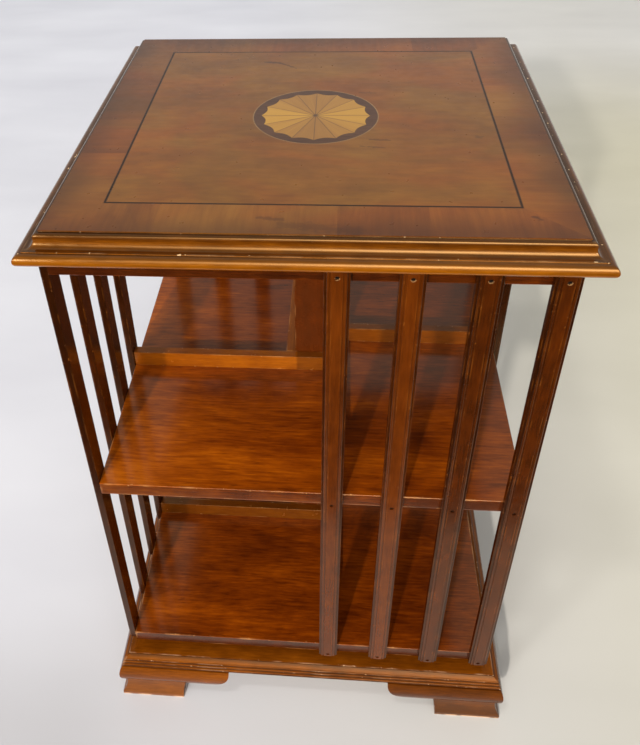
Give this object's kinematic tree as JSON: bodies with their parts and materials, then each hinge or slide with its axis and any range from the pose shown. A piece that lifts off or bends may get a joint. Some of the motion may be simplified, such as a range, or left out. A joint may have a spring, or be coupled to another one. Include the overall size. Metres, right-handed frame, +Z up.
{
  "type": "revolving bookcase",
  "caption": "Square two-tier revolving bookcase with slatted pinwheel sides, inlaid and moulded top, turning on a plinth with ogee bracket feet.",
  "frame": {"origin": "on the floor under the swivel axis, at the centre of the footprint", "axes": "+Z up along the swivel axis; +X to the right and -Y to the front, square with the plinth; the carcass is square with the plinth at rest"},
  "size_m": [0.489, 0.489, 0.716],
  "materials": {
    "board_mahogany": "clear gloss lacquer over red-brown stain, horizontal grain",
    "slat_mahogany": "clear gloss lacquer over dark red-brown stain, upright grain",
    "rail_mahogany": "clear gloss lacquer over red-brown stain",
    "column_mahogany": "clear gloss lacquer over red-brown stain, upright grain",
    "moulding_mahogany": "clear gloss lacquer over red-brown stain, burnished edges",
    "plinth_mahogany": "clear gloss lacquer over red-brown stain, burnished edges",
    "field_veneer": "clear gloss lacquer over figured red-brown veneer",
    "crossbanding": "clear gloss lacquer over cross-grained red-brown veneer",
    "ebony_line": "near-black dyed line under lacquer",
    "boxwood_line": "pale line under lacquer",
    "patera_ground": "grey-brown dyed veneer under lacquer",
    "satinwood": "golden veneer, scorched along one edge of each wedge, under lacquer",
    "pine": "plain unfinished wood",
    "steel": "plain turned and plated steel",
    "bearing_steel": "ground and polished",
    "bronze": "turned bronze",
    "brass": "stamped sheet"
  },
  "bodies": {
    "base": {"foot_front_left": "plinth_mahogany", "foot_front_right": "plinth_mahogany", "foot_rear_right": "plinth_mahogany", "foot_rear_left": "plinth_mahogany", "foot_glue_blocks": "pine", "plinth_frame": "plinth_mahogany", "plinth_panel": "pine", "spindle_flange": "steel", "flange_screws": "steel", "spindle": "steel", "lower_race": "bearing_steel", "spindle_washer": "steel", "spindle_nut": "steel"},
    "carcass": {"bearing_plate": "steel", "bearing_plate_screws": "steel", "bottom_board": "board_mahogany", "column_front": "column_mahogany", "column_left": "column_mahogany", "column_rear": "column_mahogany", "column_right": "column_mahogany", "crossbanding": "crossbanding", "field_veneer": "field_veneer", "lower_rail_front": "rail_mahogany", "lower_rail_left": "rail_mahogany", "lower_rail_rear": "rail_mahogany", "lower_rail_right": "rail_mahogany", "middle_shelf": "board_mahogany", "patera_fan": "satinwood", "patera_ground": "patera_ground", "patera_line": "boxwood_line", "slat_front_1": "slat_mahogany", "slat_front_2": "slat_mahogany", "slat_front_3": "slat_mahogany", "slat_front_4": "slat_mahogany", "slat_left_1": "slat_mahogany", "slat_left_2": "slat_mahogany", "slat_left_3": "slat_mahogany", "slat_left_4": "slat_mahogany", "slat_rear_1": "slat_mahogany", "slat_rear_2": "slat_mahogany", "slat_rear_3": "slat_mahogany", "slat_rear_4": "slat_mahogany", "slat_right_1": "slat_mahogany", "slat_right_2": "slat_mahogany", "slat_right_3": "slat_mahogany", "slat_right_4": "slat_mahogany", "slat_screws": "steel", "spindle_bushes": "bronze", "stringing": "ebony_line", "table_core": "pine", "table_moulding": "moulding_mahogany", "table_screws": "steel", "top_board": "board_mahogany", "upper_race": "bearing_steel", "upper_rail_front": "rail_mahogany", "upper_rail_left": "rail_mahogany", "upper_rail_rear": "rail_mahogany", "upper_rail_right": "rail_mahogany"},
    "ball_cage": {"ball_cage": "brass", "bearing_balls": "bearing_steel"}
  },
  "joints": [
    {"name": "carcass_turn", "type": "hinge", "parent": "base", "child": "carcass", "pos_m": [0, 0, 0.4], "axis": [0, 0, 1], "continuous": true},
    {"name": "cage_turn", "type": "hinge", "parent": "base", "child": "ball_cage", "pos_m": [0, 0, 0.087], "axis": [0, 0, 1], "continuous": true}
  ],
  "couplings": [
    {"joint": "cage_turn", "follows": "carcass_turn", "ratio": 0.5}
  ]
}
